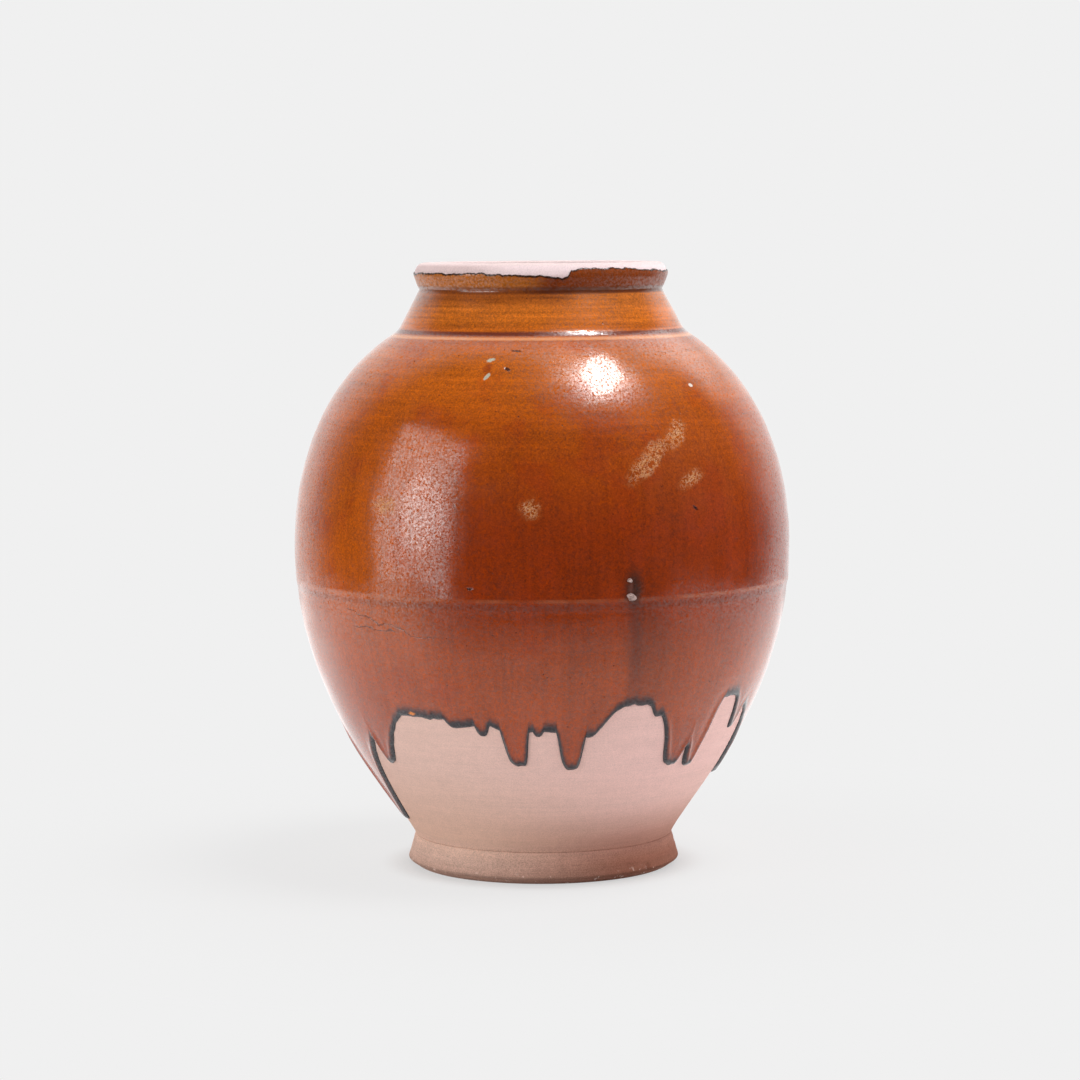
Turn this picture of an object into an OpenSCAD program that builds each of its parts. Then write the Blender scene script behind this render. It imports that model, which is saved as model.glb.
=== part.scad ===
// Wheel-thrown storage jar: a splayed foot, an egg-shaped body thrown in two halves,
// a short conical neck with a rolled rim, and a poured glaze whose lower edge ran in drips.
// Millimetres, +Z up. The origin is the centre of the foot, on the table. -Y is the front.

/* [Body] */
// Overall height, from the table to the top of the rim
jar_h = 300; // [260:1:340]
// Widest diameter of the clay body, under its glaze
belly_d = 245; // [220:1:270]
// Height of the widest place above the table
belly_z = 160; // [145:1:175]
// Thickness of the thrown wall
wall_t = 7; // [5:0.5:10]
// Length over which the belly curve stays upright below the widest place
belly_pull_down = 76; // [60:1:90]
// Length over which the belly curve stays upright above the widest place
belly_pull_up = 25; // [15:1:40]
// Slope of the shoulder where it meets the neck, in degrees from level
shoulder_angle = 32; // [25:1:40]
// Length over which the shoulder keeps that slope
shoulder_pull = 53; // [40:1:60]

/* [Foot] */
// Diameter of the ring that touches the table
foot_contact_d = 126.6; // [118:0.2:130]
// Widest diameter of the splayed foot
foot_flare_d = 135.4; // [131:0.2:145]
// Height of the small bevel under the flare
foot_bevel_h = 3; // [1:0.5:5]
// Diameter of the waist, where the body grows out of the foot
waist_d = 128.2; // [122:0.2:130]
// Height of the waist above the table
foot_h = 15.4; // [12:0.2:20]
// Slope of the wall as it leaves the waist, in degrees from level
waist_angle = 65; // [55:1:75]
// Length over which the wall keeps that slope
waist_pull = 20; // [12:1:30]
// Diameter of the trimmed recess under the base
recess_d = 100; // [90:1:104]
// Depth of that recess
recess_h = 7; // [4:0.5:9]
// Width of the ledge in the foot that carries the base slab
ledge_w = 3; // [2:0.5:5]
// Thickness of the base slab
base_t = 10; // [9:0.5:14]
// Radius of the curve between the floor and the wall inside
floor_round = 16; // [10:1:20]

/* [Belly seam] */
// Height of the joint between the two thrown halves
seam_z = 143; // [130:1:150]
// Width of the strip of clay pressed into the joint
seam_w = 5; // [3:0.5:8]
// Depth of the strip in the wall
seam_depth = 2.5; // [1.5:0.25:4]
// How far the strip stands out of the wall
seam_proud = 0.4; // [0.2:0.1:0.8]

/* [Neck] */
// Diameter of the shoulder's edge, under its glaze
shoulder_d = 142.6; // [136:0.2:148]
// Height of the neck, from the shoulder's edge to the groove under the rim
neck_h = 21.4; // [16:0.2:28]
// Diameter of the neck just above its fillet
neck_foot_d = 138.4; // [130:0.2:140]
// Diameter of the groove under the rim
groove_d = 118.6; // [114:0.2:122]
// Height of the fillet that joins the neck to the shoulder
neck_fillet_h = 2.5; // [1.5:0.25:4]
// Thickness of the neck's wall at its foot, measured level
neck_t = 7; // [5:0.5:9]

/* [Mouth] */
// Diameter of the mouth
mouth_d = 103; // [94:0.5:106]
// Widest diameter of the rolled rim, under its glaze
rim_d = 125.2; // [123:0.2:130]
// Height of the rolled rim, from the groove to its top
rim_h = 13.5; // [11:0.5:17]
// Height over which the top of the rim rounds over outside
rim_round_h = 6; // [4:0.5:7]
// Width over which the top of the rim rounds over outside
rim_round_w = 5; // [3:0.5:6]
// Radius of the inner edge of the mouth
lip_round = 2; // [1:0.25:3]

/* [Glaze] */
// Thickness of the outer glaze
glaze_t = 0.8; // [0.5:0.1:1.2]
// Thickness of the glaze that lines the inside
lining_t = 0.6; // [0.4:0.1:1]
// Height of the glaze's lower edge between the runs
glaze_edge_z = 94; // [85:1:110]
// How far below the top of the rim the outer glaze ends
rim_bare_h = 6.5; // [6.2:0.1:8]

/* [Kiln grit] */
// Diameter of the larger grain
grit_d = 4.6; // [3:0.2:6]
// Height of the larger grain
grit_z = 146; // [140:1:170]
// Azimuth of the grains, in degrees from the front towards +X
grit_azimuth = 19.5; // [0:0.5:45]
// Diameter of the smaller grain, above the larger one
small_grit_d = 3; // [2:0.2:4]
// Distance between the centres of the two grains
grit_spacing = 7.5; // [5:0.5:12]

/* [Hidden] */
$fn = 180;

belly_r = belly_d / 2;
waist_r = waist_d / 2;
shoulder_r = shoulder_d / 2;
neck_foot_r = neck_foot_d / 2;
groove_r = groove_d / 2;
rim_r = rim_d / 2;
mouth_r = mouth_d / 2;
recess_r = recess_d / 2;
slab_r = recess_r + ledge_w;
floor_z = recess_h + base_t;
groove_z = jar_h - rim_h;
shoulder_z = groove_z - neck_h;
rim_wide_z = jar_h - rim_round_h;
curve_steps = 18;
round_steps = 8;
// A cut reaches this far past what it cuts.
past = 1;

// Each run of the glaze is one row: its azimuth from the front towards +X, its length
// below the glaze edge, its reach to the left and to the right at half its length, in
// degrees, and how steep its sides are. The wide, shallow rows are sags of the whole coat.
// The rows past 84 degrees are on the side that faces away from the front.
runs = [
    [-72, 69, 11, 12, 2.2], [-52, 35, 5, 7.5, 2.2], [-34, 9, 9.5, 12, 6],
    [-21, 12, 6.2, 6, 5.5], [-16, 16.5, 2.7, 2.6, 3], [-6, 31, 5, 2.2, 6],
    [-1.8, 13.6, 15, 14, 6], [-1.3, 16.2, 2.4, 2.4, 3], [8.8, 33, 5, 2.5, 5],
    [11, 16.5, 4, 5.5, 3.5], [31, 8, 2.5, 3, 4], [41, 34.5, 6.5, 4.5, 3.6],
    [48.7, 36.5, 5, 2.7, 4.5], [64, 20, 2.7, 3.5, 3], [84, 48, 9.5, 8, 2.6],
    [107, 44, 5, 4.5, 4], [124, 9, 11, 11, 6], [137, 25, 5, 5, 3], [164, 40, 4.5, 5, 4],
    [182, 8, 10, 11, 6], [196, 28, 5, 5, 4], [225, 37, 4.5, 5, 4], [242, 8, 10, 10, 6],
    [257, 34, 5, 5, 4], [271, 12, 9, 9, 6]
];

// A point of a cubic curve with four handles.
function bezier(h, t) =
    pow(1 - t, 3) * h[0] + 3 * pow(1 - t, 2) * t * h[1] + 3 * (1 - t) * t * t * h[2] + pow(t, 3) * h[3];

// Points of a quarter of an ellipse, between two angles.
function round_over(centre, w, h, from, to) = [
    for (i = [0:round_steps])
        let (a = from + (to - from) * i / round_steps) centre + [w * cos(a), h * sin(a)]
];

// A line of [radius, height] points moved sideways by a distance, positive away from the axis.
function beside(line, d) = [
    for (i = [0:len(line) - 1])
        let (along = line[min(i + 1, len(line) - 1)] - line[max(i - 1, 0)])
            line[i] + d * [along[1], -along[0]] / norm(along)
];

// The radius of a rising line at a height.
function radius_at(line, z) = lookup(z, [for (p = line) [p[1], p[0]]]);

// The part of a rising line between two heights.
function between(line, z0, z1) = concat(
    [[radius_at(line, z0), z0]],
    [for (p = line) if (p[1] > z0 + 0.01 && p[1] < z1 - 0.01) p],
    [[radius_at(line, z1), z1]]
);

function backwards(line) = [for (i = [len(line) - 1:-1:0]) line[i]];

// The thrown wall from the waist to the shoulder's edge: one curve up to the widest place
// and one from there to the shoulder.
lower_handles = [
    [waist_r, foot_h],
    [waist_r + waist_pull * cos(waist_angle), foot_h + waist_pull * sin(waist_angle)],
    [belly_r, belly_z - belly_pull_down],
    [belly_r, belly_z]
];
upper_handles = [
    [belly_r, belly_z],
    [belly_r, belly_z + belly_pull_up],
    [shoulder_r + shoulder_pull * cos(shoulder_angle), shoulder_z - shoulder_pull * sin(shoulder_angle)],
    [shoulder_r, shoulder_z]
];
wall_outside = concat(
    [for (i = [0:curve_steps - 1]) bezier(lower_handles, i / curve_steps)],
    [for (i = [0:curve_steps]) bezier(upper_handles, i / curve_steps)]
);
wall_inside = beside(wall_outside, -wall_t);
wall_inside_top = wall_inside[len(wall_inside) - 1];
neck_inside_r = neck_foot_r - neck_t;

// The curve between the floor and the wall, inside the lower bowl.
floor_corner_r = radius_at(wall_inside, floor_z);
floor_curve = [
    for (i = [0:round_steps])
        bezier([
            [floor_corner_r - floor_round, floor_z],
            [floor_corner_r - floor_round / 3, floor_z],
            [floor_corner_r, floor_z + floor_round / 3],
            [radius_at(wall_inside, floor_z + floor_round), floor_z + floor_round]
        ], i / round_steps)
];

seam_r = radius_at(wall_outside, seam_z);
seam_low = seam_z - seam_w / 2;
seam_high = seam_z + seam_w / 2;

// The whole clay skin that the outer glaze lies on, with the seam's ridge, from the waist
// to the widest place of the rim.
skin = concat(
    between(wall_outside, foot_h, seam_low),
    [[seam_r + seam_proud, seam_z]],
    between(wall_outside, seam_high, shoulder_z),
    [[neck_foot_r, shoulder_z + neck_fillet_h], [groove_r, groove_z], [rim_r, rim_wide_z]]
);

// How far a run hangs below the glaze edge at an azimuth: all its length at its middle,
// half of it at its reach.
function hang(run, a) =
    let (turn = (a - run[0] + 540) % 360 - 180, reach = turn < 0 ? run[2] : run[3])
        run[1] / (1 + pow(abs(turn) / reach, run[4]));

// The height of the glaze's lower edge at an azimuth.
function edge_z(a) = glaze_edge_z - max([for (run = runs) hang(run, a)]);

glaze_low = glaze_edge_z - max([for (run = runs) run[1]]) - past;
glazed_skin = between(skin, glaze_low, jar_h - rim_bare_h);

// A place on the skin as seen square on, from an azimuth that lies a turn away from it.
function seen(z, turn) = [radius_at(skin, z) * sin(turn), z];

// The side of a bare window, from a height down past the lowest run.
function window_side(z, turn) = [
    for (i = [1:round_steps])
        seen(z + (glaze_low - past - z) * i / round_steps, turn)
];

module clay(line) {
    color([0.83, 0.67, 0.60])
        rotate_extrude()
            polygon(line);
}

module foot_ring() {
    chamfer = 1.5;
    clay([
        [recess_r + chamfer, 0],
        [foot_contact_d / 2, 0],
        [foot_flare_d / 2, foot_bevel_h],
        [waist_r, foot_h],
        [slab_r, foot_h],
        [slab_r, recess_h],
        [recess_r, recess_h],
        [recess_r, chamfer]
    ]);
}

module base_slab() {
    color([0.80, 0.63, 0.56])
        translate([0, 0, recess_h])
            cylinder(r = slab_r, h = base_t);
}

module lower_bowl() {
    clay(concat(
        between(wall_outside, foot_h, seam_low),
        [[seam_r - seam_depth, seam_z]],
        backwards(between(wall_inside, floor_z + floor_round, seam_z)),
        backwards([for (i = [0:round_steps - 1]) floor_curve[i]]),
        [[slab_r, floor_z], [slab_r, foot_h]]
    ));
}

module belly_seam() {
    clay([
        [seam_r - seam_depth, seam_z],
        [radius_at(wall_outside, seam_low), seam_low],
        [seam_r + seam_proud, seam_z],
        [radius_at(wall_outside, seam_high), seam_high]
    ]);
}

module upper_bowl() {
    clay(concat(
        [[seam_r - seam_depth, seam_z]],
        between(wall_outside, seam_high, shoulder_z),
        [[neck_inside_r, shoulder_z]],
        backwards(between(wall_inside, seam_z, wall_inside_top[1]))
    ));
}

module neck_fillet() {
    clay([
        [neck_foot_r, shoulder_z],
        [shoulder_r, shoulder_z],
        [neck_foot_r, shoulder_z + neck_fillet_h]
    ]);
}

module neck_collar() {
    clay([
        [neck_inside_r, shoulder_z],
        [neck_foot_r, shoulder_z],
        [neck_foot_r, shoulder_z + neck_fillet_h],
        [groove_r, groove_z],
        [mouth_r, groove_z]
    ]);
}

module mouth_rim() {
    color([0.90, 0.76, 0.72])
        rotate_extrude()
            polygon(concat(
                [[mouth_r, groove_z], [groove_r, groove_z]],
                round_over([rim_r - rim_round_w, rim_wide_z], rim_round_w, rim_round_h, 0, 90),
                round_over([mouth_r + lip_round, jar_h - lip_round], lip_round, lip_round, 90, 180)
            ));
}

module grains() {
    grain_r = radius_at(skin, grit_z) + glaze_t;
    rotate([0, 0, grit_azimuth - 90]) {
        translate([grain_r, 0, grit_z])
            sphere(d = grit_d, $fn = 10);
        translate([grain_r, 0, grit_z + grit_spacing])
            sphere(d = small_grit_d, $fn = 8);
    }
}

// The bare clay below the glaze edge, between two azimuths, as a block that reaches
// through the coat.
module bare_window(from, to) {
    middle = (from + to) / 2;
    step = 1;
    overlap = 0.2;
    rotate([90, 0, middle])
        linear_extrude(height = belly_r)
            polygon(concat(
                [for (a = [from - overlap, each [from:step:to], to + overlap]) seen(edge_z(a), a - middle)],
                window_side(edge_z(to + overlap), to + overlap - middle),
                backwards(window_side(edge_z(from - overlap), from - overlap - middle))
            ));
}

module outer_glaze() {
    window = 20;
    color([0.66, 0.27, 0.08])
        difference() {
            rotate_extrude()
                polygon(concat(glazed_skin, backwards(beside(glazed_skin, glaze_t))));
            for (a = [-80:window:260])
                bare_window(a, a + window);
            grains();
        }
}

module inner_glaze() {
    inside = concat(
        floor_curve,
        between(wall_inside, floor_z + floor_round, wall_inside_top[1]),
        [[neck_inside_r, shoulder_z], [mouth_r, groove_z]]
    );
    lined = beside(inside, -lining_t);
    color([0.50, 0.22, 0.08])
        rotate_extrude()
            polygon(concat(
                [[0, floor_z]],
                inside,
                backwards(lined),
                [[0, floor_z + lining_t]]
            ));
}

module kiln_grit() {
    color([0.86, 0.78, 0.74])
        difference() {
            grains();
            rotate_extrude()
                polygon(concat([[0, foot_h]], skin, [[0, rim_wide_z]]));
        }
}

foot_ring();
base_slab();
lower_bowl();
belly_seam();
upper_bowl();
neck_fillet();
neck_collar();
mouth_rim();
outer_glaze();
inner_glaze();
kiln_grit();
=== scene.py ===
"""A wheel-thrown storage jar with a poured amber glaze whose lower edge ran in drips.

Lengths are in millimetres until a mesh is made. An azimuth is in degrees from the front (-Y)
towards +X, and z is the height above the table.
"""

from math import cos, pi, radians, sin

import bpy
import numpy as np
from mathutils import Matrix, Vector


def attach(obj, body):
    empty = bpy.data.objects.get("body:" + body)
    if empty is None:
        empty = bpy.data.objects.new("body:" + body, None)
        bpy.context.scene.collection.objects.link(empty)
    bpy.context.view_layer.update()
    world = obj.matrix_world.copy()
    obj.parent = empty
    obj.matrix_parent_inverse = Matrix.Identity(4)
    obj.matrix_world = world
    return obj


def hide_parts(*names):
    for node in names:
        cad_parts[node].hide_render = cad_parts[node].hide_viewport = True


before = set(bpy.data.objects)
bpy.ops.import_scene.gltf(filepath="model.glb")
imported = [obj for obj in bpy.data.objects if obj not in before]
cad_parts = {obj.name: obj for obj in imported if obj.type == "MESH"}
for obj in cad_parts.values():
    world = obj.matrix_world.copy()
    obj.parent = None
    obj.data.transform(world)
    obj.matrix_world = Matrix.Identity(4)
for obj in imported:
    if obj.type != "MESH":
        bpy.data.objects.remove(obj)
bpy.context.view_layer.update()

MM = 0.001

# ---- Driving dimensions, the same as the solids have ----

JAR_H = 300.0
BELLY_R, BELLY_Z = 122.5, 160.0
BELLY_PULL_DOWN, BELLY_PULL_UP = 76.0, 25.0
SHOULDER_ANGLE, SHOULDER_PULL = 32.0, 53.0
WALL_T = 7.0
FOOT_CONTACT_R, FOOT_FLARE_R, FOOT_BEVEL_H = 63.3, 67.7, 3.0
WAIST_R, FOOT_H = 64.1, 15.4
WAIST_ANGLE, WAIST_PULL = 65.0, 20.0
RECESS_R, RECESS_H, LEDGE_W, BASE_T = 50.0, 7.0, 3.0, 10.0
FLOOR_ROUND = 16.0
SEAM_Z, SEAM_W, SEAM_DEPTH, SEAM_PROUD = 143.0, 5.0, 2.5, 0.4
SHOULDER_R, NECK_H, NECK_FOOT_R, GROOVE_R = 71.3, 21.4, 69.2, 59.3
NECK_FILLET_H, NECK_T = 2.5, 7.0
MOUTH_R, RIM_R, RIM_H = 51.5, 62.6, 13.5
RIM_ROUND_H, RIM_ROUND_W, LIP_ROUND = 6.0, 5.0, 2.0
GLAZE_T, LINING_T, GLAZE_EDGE_Z = 0.8, 0.6, 94.0

GROOVE_Z = JAR_H - RIM_H
SHOULDER_Z = GROOVE_Z - NECK_H
RIM_WIDE_Z = JAR_H - RIM_ROUND_H
FLOOR_Z = RECESS_H + BASE_T
SLAB_R = RECESS_R + LEDGE_W

# Each run of the glaze: azimuth, length below the glaze edge, reach to the left and right at
# half its length in degrees, and how steep its sides are.
RUNS = [
    (-72, 69, 11, 12, 2.2), (-52, 35, 5, 7.5, 2.2), (-34, 9, 9.5, 12, 6),
    (-21, 12, 6.2, 6, 5.5), (-16, 16.5, 2.7, 2.6, 3), (-6, 31, 5, 2.2, 6),
    (-1.8, 13.6, 15, 14, 6), (-1.3, 16.2, 2.4, 2.4, 3), (8.8, 33, 5, 2.5, 5),
    (11, 16.5, 4, 5.5, 3.5), (31, 8, 2.5, 3, 4), (41, 34.5, 6.5, 4.5, 3.6),
    (48.7, 36.5, 5, 2.7, 4.5), (64, 20, 2.7, 3.5, 3), (84, 48, 9.5, 8, 2.6),
    (107, 44, 5, 4.5, 4), (124, 9, 11, 11, 6), (137, 25, 5, 5, 3), (164, 40, 4.5, 5, 4),
    (182, 8, 10, 11, 6), (196, 28, 5, 5, 4), (225, 37, 4.5, 5, 4), (242, 8, 10, 10, 6),
    (257, 34, 5, 5, 4), (271, 12, 9, 9, 6),
]


# ---- Smooth random values round the jar ----

def noise(az, z, wide, high, seed):
    """Smooth values from -1 to 1, one for each cell of wide by high, that meet round the jar."""
    cells = max(3, round(2 * pi * BELLY_R / wide))
    rows = int(2 * JAR_H / high) + 3
    table = np.random.default_rng(seed).uniform(-1, 1, (rows, cells))
    across = np.asarray(az, float) / 360 * cells
    up = np.asarray(z, float) / high + 1
    across, up = np.broadcast_arrays(across, up)
    column, row = np.floor(across).astype(int), np.clip(np.floor(up).astype(int), 0, rows - 2)
    u, v = across - column, np.clip(up - row, 0, 1)
    u, v = u * u * (3 - 2 * u), v * v * (3 - 2 * v)
    here, next_one = column % cells, (column + 1) % cells
    low = table[row, here] * (1 - u) + table[row, next_one] * u
    top = table[row + 1, here] * (1 - u) + table[row + 1, next_one] * u
    return low * (1 - v) + top * v


def smooth_step(x, start, end):
    t = np.clip((np.asarray(x, float) - start) / (end - start), 0, 1)
    return t * t * (3 - 2 * t)


# ---- Profiles, as arrays of [radius, z] ----

def bezier(handles, steps=60):
    t = np.linspace(0, 1, steps + 1)[:, None]
    a, b, c, d = np.array(handles, float)
    return (1 - t) ** 3 * a + 3 * (1 - t) ** 2 * t * b + 3 * (1 - t) * t * t * c + t**3 * d


def arc(centre, wide, high, start, end, steps=12):
    a = np.radians(np.linspace(start, end, steps + 1))
    return np.c_[centre[0] + wide * np.cos(a), centre[1] + high * np.sin(a)]


def even(line, step):
    """The line with points about a step apart."""
    line = np.array(line, float)
    along = np.r_[0, np.cumsum(np.hypot(*np.diff(line, axis=0).T))]
    at = np.linspace(0, along[-1], max(2, round(along[-1] / step) + 1))
    return np.c_[np.interp(at, along, line[:, 0]), np.interp(at, along, line[:, 1])]


def soften(line, step, width):
    """The line resampled at a step, with its corners rounded over about a width."""
    line = even(line, step)
    reach = int(3 * width / step)
    weights = np.exp(-0.5 * (np.arange(-reach, reach + 1) * step / width) ** 2)
    weights /= weights.sum()
    ends = [2 * line[0] - line[reach:0:-1], line, 2 * line[-1] - line[-2 : -reach - 2 : -1]]
    long = np.vstack(ends)
    return np.c_[np.convolve(long[:, 0], weights, "valid"), np.convolve(long[:, 1], weights, "valid")]


def normals(line):
    """The unit vectors to the right of a line, which is outwards where it rises."""
    along = np.gradient(line, axis=0)
    along /= np.hypot(*along.T)[:, None]
    return np.c_[along[:, 1], -along[:, 0]]


angle, waist = radians(SHOULDER_ANGLE), radians(WAIST_ANGLE)
BODY = np.vstack([
    bezier([
        (WAIST_R, FOOT_H),
        (WAIST_R + WAIST_PULL * cos(waist), FOOT_H + WAIST_PULL * sin(waist)),
        (BELLY_R, BELLY_Z - BELLY_PULL_DOWN),
        (BELLY_R, BELLY_Z),
    ])[:-1],
    bezier([
        (BELLY_R, BELLY_Z),
        (BELLY_R, BELLY_Z + BELLY_PULL_UP),
        (SHOULDER_R + SHOULDER_PULL * cos(angle), SHOULDER_Z - SHOULDER_PULL * sin(angle)),
        (SHOULDER_R, SHOULDER_Z),
    ]),
])
RIM_ROUND = arc((RIM_R - RIM_ROUND_W, RIM_WIDE_Z), RIM_ROUND_W, RIM_ROUND_H, 0, 90)
NECK = [(NECK_FOOT_R, SHOULDER_Z + NECK_FILLET_H), (GROOVE_R, GROOVE_Z)]
SKIN = np.vstack([BODY, NECK, RIM_ROUND])
INSIDE = BODY - WALL_T * normals(BODY)


def radius_at(line, z):
    return np.interp(z, line[:, 1], line[:, 0])


def seam_ridge(z):
    """How far the strip in the belly joint stands out at a height."""
    return SEAM_PROUD * (0.8 * np.exp(-(((z - SEAM_Z - 1.0) / 1.7) ** 2)) - 0.5 * np.exp(-(((z - SEAM_Z + 4.0) / 3.0) ** 2)))


def wobble(az, z):
    """How far the thrown wall strays from a true revolve: rings left by the fingers, a little
    out of round."""
    spiral = z + np.asarray(az) / 360 * 9
    rings = 0.10 * noise(az, spiral, 260, 7.5, 3) + 0.05 * noise(az, spiral, 190, 3.6, 4)
    lobes = 0.16 * noise(az, z, 110, 60, 5) + 0.06 * noise(az, z, 30, 22, 6)
    held = smooth_step(z, FOOT_H, FOOT_H + 25) * (1 - smooth_step(z, SHOULDER_Z - 10, SHOULDER_Z))
    return (rings + lobes - 0.12) * held


# ---- Meshes from rings of points ----

def ring(radius, z, columns):
    """The points of a ring. radius and z are numbers or one value for each column."""
    az = np.radians(np.arange(columns) * 360 / columns)
    radius, z = np.broadcast_to(radius, az.shape), np.broadcast_to(z, az.shape)
    return np.c_[radius * np.sin(az), -radius * np.cos(az), z]


def azimuths(columns):
    return np.arange(columns) * 360 / columns


def bridge(low, high):
    """Faces between two rings of point numbers. A ring may have a whole number of points for
    each point of the other."""
    if len(low) == len(high):
        return np.c_[low, np.roll(low, -1), np.roll(high, -1), high].tolist()
    fine, coarse, flip = (low, high, False) if len(low) > len(high) else (high, low, True)
    share = len(fine) // len(coarse)
    faces = []
    for i in range(len(coarse)):
        run = [fine[(share * i + k) % len(fine)] for k in range(share + 1)]
        face = run + [coarse[(i + 1) % len(coarse)], coarse[i]]
        faces.append(face[::-1] if flip else face)
    return faces


def turned(name, rings, material, closed=True, values=None):
    """A mesh whose cross-section runs through the rings in turn. values holds named numbers,
    one array for each ring."""
    starts = np.cumsum([0] + [len(r) for r in rings])
    numbers = [np.arange(a, b) for a, b in zip(starts[:-1], starts[1:])]
    faces = []
    for low, high in zip(numbers[:-1], numbers[1:]):
        faces += bridge(low, high)
    if closed:
        faces += bridge(numbers[-1], numbers[0])
    mesh = bpy.data.meshes.new(name)
    mesh.from_pydata((np.vstack(rings) * MM).tolist(), [], faces)
    for key, arrays in (values or {}).items():
        attribute = mesh.attributes.new(key, "FLOAT", "POINT")
        attribute.data.foreach_set("value", np.concatenate(arrays).astype(np.float32))
    mesh.materials.append(material)
    mesh.shade_smooth()
    piece = bpy.data.objects.new(name, mesh)
    bpy.context.scene.collection.objects.link(piece)
    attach(piece, "root")
    return piece


# ---- Shader nodes ----

class Paint:
    """A material and short names for the nodes that it is painted with. A value is a number,
    a colour or vector as a tuple, or another node's output."""

    def __init__(self, name):
        self.material = bpy.data.materials.new(name)
        self.material.use_nodes = True
        self.tree = self.material.node_tree
        self.shader = self.tree.nodes["Principled BSDF"]
        self.place = self.add("ShaderNodeTexCoord").outputs["Object"]
        parts = self.add("ShaderNodeSeparateXYZ", Vector=self.place)
        self.z = self.math("MULTIPLY", parts.outputs["Z"], 1 / MM)
        self.around = self.math("ARCTAN2", parts.outputs["X"], self.math("MULTIPLY", parts.outputs["Y"], -1))
        self.turn = self.math("MULTIPLY", self.around, 180 / pi)

    def add(self, kind, **inputs):
        node = self.tree.nodes.new(kind)
        for key, value in inputs.items():
            self.put(node.inputs[key.replace("_", " ")], value)
        return node

    def put(self, socket, value):
        if isinstance(value, bpy.types.NodeSocket):
            self.tree.links.new(value, socket)
        elif isinstance(value, tuple) and len(value) == 3 and socket.type == "RGBA":
            socket.default_value = (*value, 1)
        else:
            socket.default_value = value

    def math(self, operation, *values, clamp=False):
        node = self.tree.nodes.new("ShaderNodeMath")
        node.operation, node.use_clamp = operation, clamp
        for socket, value in zip(node.inputs, values):
            self.put(socket, value)
        return node.outputs[0]

    def step(self, value, start, end, low=0.0, high=1.0):
        """Rises smoothly from low to high as a value goes from start to end."""
        node = self.add("ShaderNodeMapRange", Value=value)
        node.interpolation_type = "SMOOTHSTEP"
        for key, number in (("From Min", start), ("From Max", end), ("To Min", low), ("To Max", high)):
            self.put(node.inputs[key], number)
        return node.outputs["Result"]

    def band(self, value, middle, half, soft):
        """1 within half of the middle, falling to 0 over a soft edge."""
        off = self.math("ABSOLUTE", self.math("SUBTRACT", value, middle))
        return self.step(off, half, half + soft, 1.0, 0.0)

    def mix(self, share, first, second):
        node = self.tree.nodes.new("ShaderNodeMix")
        node.data_type = "RGBA"
        self.put(node.inputs["Factor"], share)
        sockets = {socket.name: socket for socket in node.inputs if socket.type == "RGBA"}
        self.put(sockets["A"], first)
        self.put(sockets["B"], second)
        return next(socket for socket in node.outputs if socket.type == "RGBA")

    def shaded(self, colour, amount):
        """The colour times an amount."""
        node = self.tree.nodes.new("ShaderNodeVectorMath")
        node.operation = "SCALE"
        self.put(node.inputs[0], colour)
        self.put(node.inputs["Scale"], amount)
        return node.outputs[0]

    def swing(self, value, amount, middle=0.5):
        """A value's distance from its middle, times an amount."""
        return self.math("MULTIPLY", self.math("SUBTRACT", value, middle), amount)

    def crack(self, first, last, wide, shake):
        """1 on a hairline between two places, each an azimuth and a height."""
        rise = (last[1] - first[1]) / (last[0] - first[0])
        level = self.math("ADD", self.math("MULTIPLY", self.math("SUBTRACT", self.turn, first[0]), rise), first[1])
        level = self.math("ADD", level, self.swing(self.noise(7, None, 3), shake))
        on_line = self.band(self.math("SUBTRACT", self.z, level), 0.0, wide / 2, 0.3)
        middle, half = (first[0] + last[0]) / 2, abs(last[0] - first[0]) / 2
        return self.math("MULTIPLY", on_line, self.band(self.turn, middle, half, 1.5))

    def ramp(self, value, stops):
        """A colour for each height or value in the stops, blended between them."""
        low, high = stops[0][0], stops[-1][0]
        node = self.add("ShaderNodeValToRGB", Fac=self.step_line(value, low, high))
        elements = node.color_ramp.elements
        while len(elements) < len(stops):
            elements.new(0.5)
        for element, (at, colour) in zip(elements, stops):
            element.position = (at - low) / (high - low)
        for element, (at, colour) in zip(elements, stops):
            element.color = (*colour, 1)
        return node.outputs["Color"]

    def step_line(self, value, low, high):
        node = self.add("ShaderNodeMapRange", Value=value)
        self.put(node.inputs["From Min"], float(low))
        self.put(node.inputs["From Max"], float(high))
        return node.outputs["Result"]

    def scaled(self, across=1.0, up=1.0):
        """The place in millimetres with its level and upright parts scaled."""
        node = self.add("ShaderNodeVectorMath", Vector=self.place)
        node.operation = "MULTIPLY"
        node.inputs[1].default_value = (across / MM, across / MM, up / MM)
        return node.outputs[0]

    def wrapped(self, across=1.0, up=1.0):
        """The place on a plain cylinder as wide as the belly, so that a pattern runs straight
        down the wall."""
        flat = self.add("ShaderNodeVectorMath", Vector=self.place)
        flat.operation = "MULTIPLY"
        flat.inputs[1].default_value = (1, 1, 0)
        unit = self.add("ShaderNodeVectorMath", Vector=flat.outputs[0])
        unit.operation = "NORMALIZE"
        spread = self.add("ShaderNodeVectorMath", Vector=unit.outputs[0])
        spread.operation = "SCALE"
        spread.inputs["Scale"].default_value = BELLY_R * across
        parts = self.add("ShaderNodeSeparateXYZ", Vector=spread.outputs[0])
        joined = self.add("ShaderNodeCombineXYZ")
        self.put(joined.inputs["X"], parts.outputs["X"])
        self.put(joined.inputs["Y"], parts.outputs["Y"])
        self.put(joined.inputs["Z"], self.math("MULTIPLY", self.z, up))
        return joined.outputs[0]

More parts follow.
